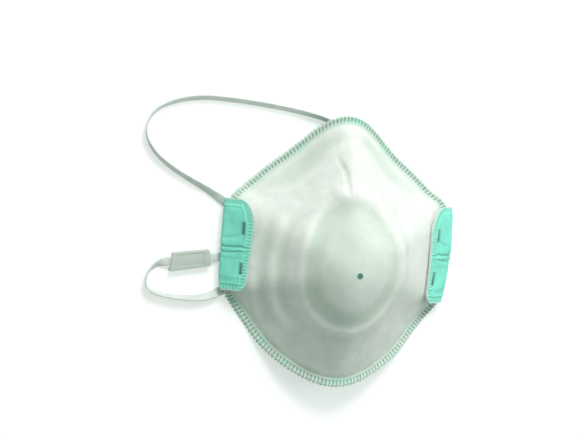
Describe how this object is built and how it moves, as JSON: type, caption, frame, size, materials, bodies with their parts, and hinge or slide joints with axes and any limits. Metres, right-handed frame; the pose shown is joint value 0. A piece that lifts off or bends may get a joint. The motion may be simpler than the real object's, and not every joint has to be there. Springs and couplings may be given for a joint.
{
  "type": "disposable dust mask",
  "caption": "Moulded half-face dust mask with folded, stapled ears, two flat elastic head straps and a clear slider on the lower strap.",
  "frame": {"origin": "middle of the mask's foot, straps left out, on the surface it lies on rim down", "axes": "+Z from the face out through the cup, +Y towards the bridge of the nose, +X towards the wearer's left"},
  "size_m": [0.1693, 0.1487, 0.0468],
  "materials": {
    "shell_web": "matte spunbond web",
    "filter_web": "soft matte web",
    "mint_web": "smooth matte web",
    "staple_wire": "satin wire",
    "weld_spot": "fused",
    "clip_metal": "satin",
    "foam": "open-cell foam",
    "elastic": "knitted elastic",
    "clear_plastic": "clear"
  },
  "bodies": {
    "mask": {"outer_shell": "shell_web", "filter_layer": "filter_web", "inner_lining": "mint_web", "left_ear_lining": "mint_web", "right_ear_lining": "mint_web", "left_ear_backing": "shell_web", "right_ear_backing": "shell_web", "left_upper_staple": "staple_wire", "left_lower_staple": "staple_wire", "right_upper_staple": "staple_wire", "right_lower_staple": "staple_wire", "centre_spot_weld": "weld_spot", "nose_clip": "clip_metal", "nose_foam": "foam", "upper_strap": "elastic", "lower_strap": "elastic"},
    "slider": {"strap_buckle": "clear_plastic"}
  },
  "joints": [
    {"name": "buckle_slide", "type": "slide", "parent": "mask", "child": "slider", "axis": [0.9935, 0.1134, 0], "range_m": [-0.0025, 0.006]}
  ]
}
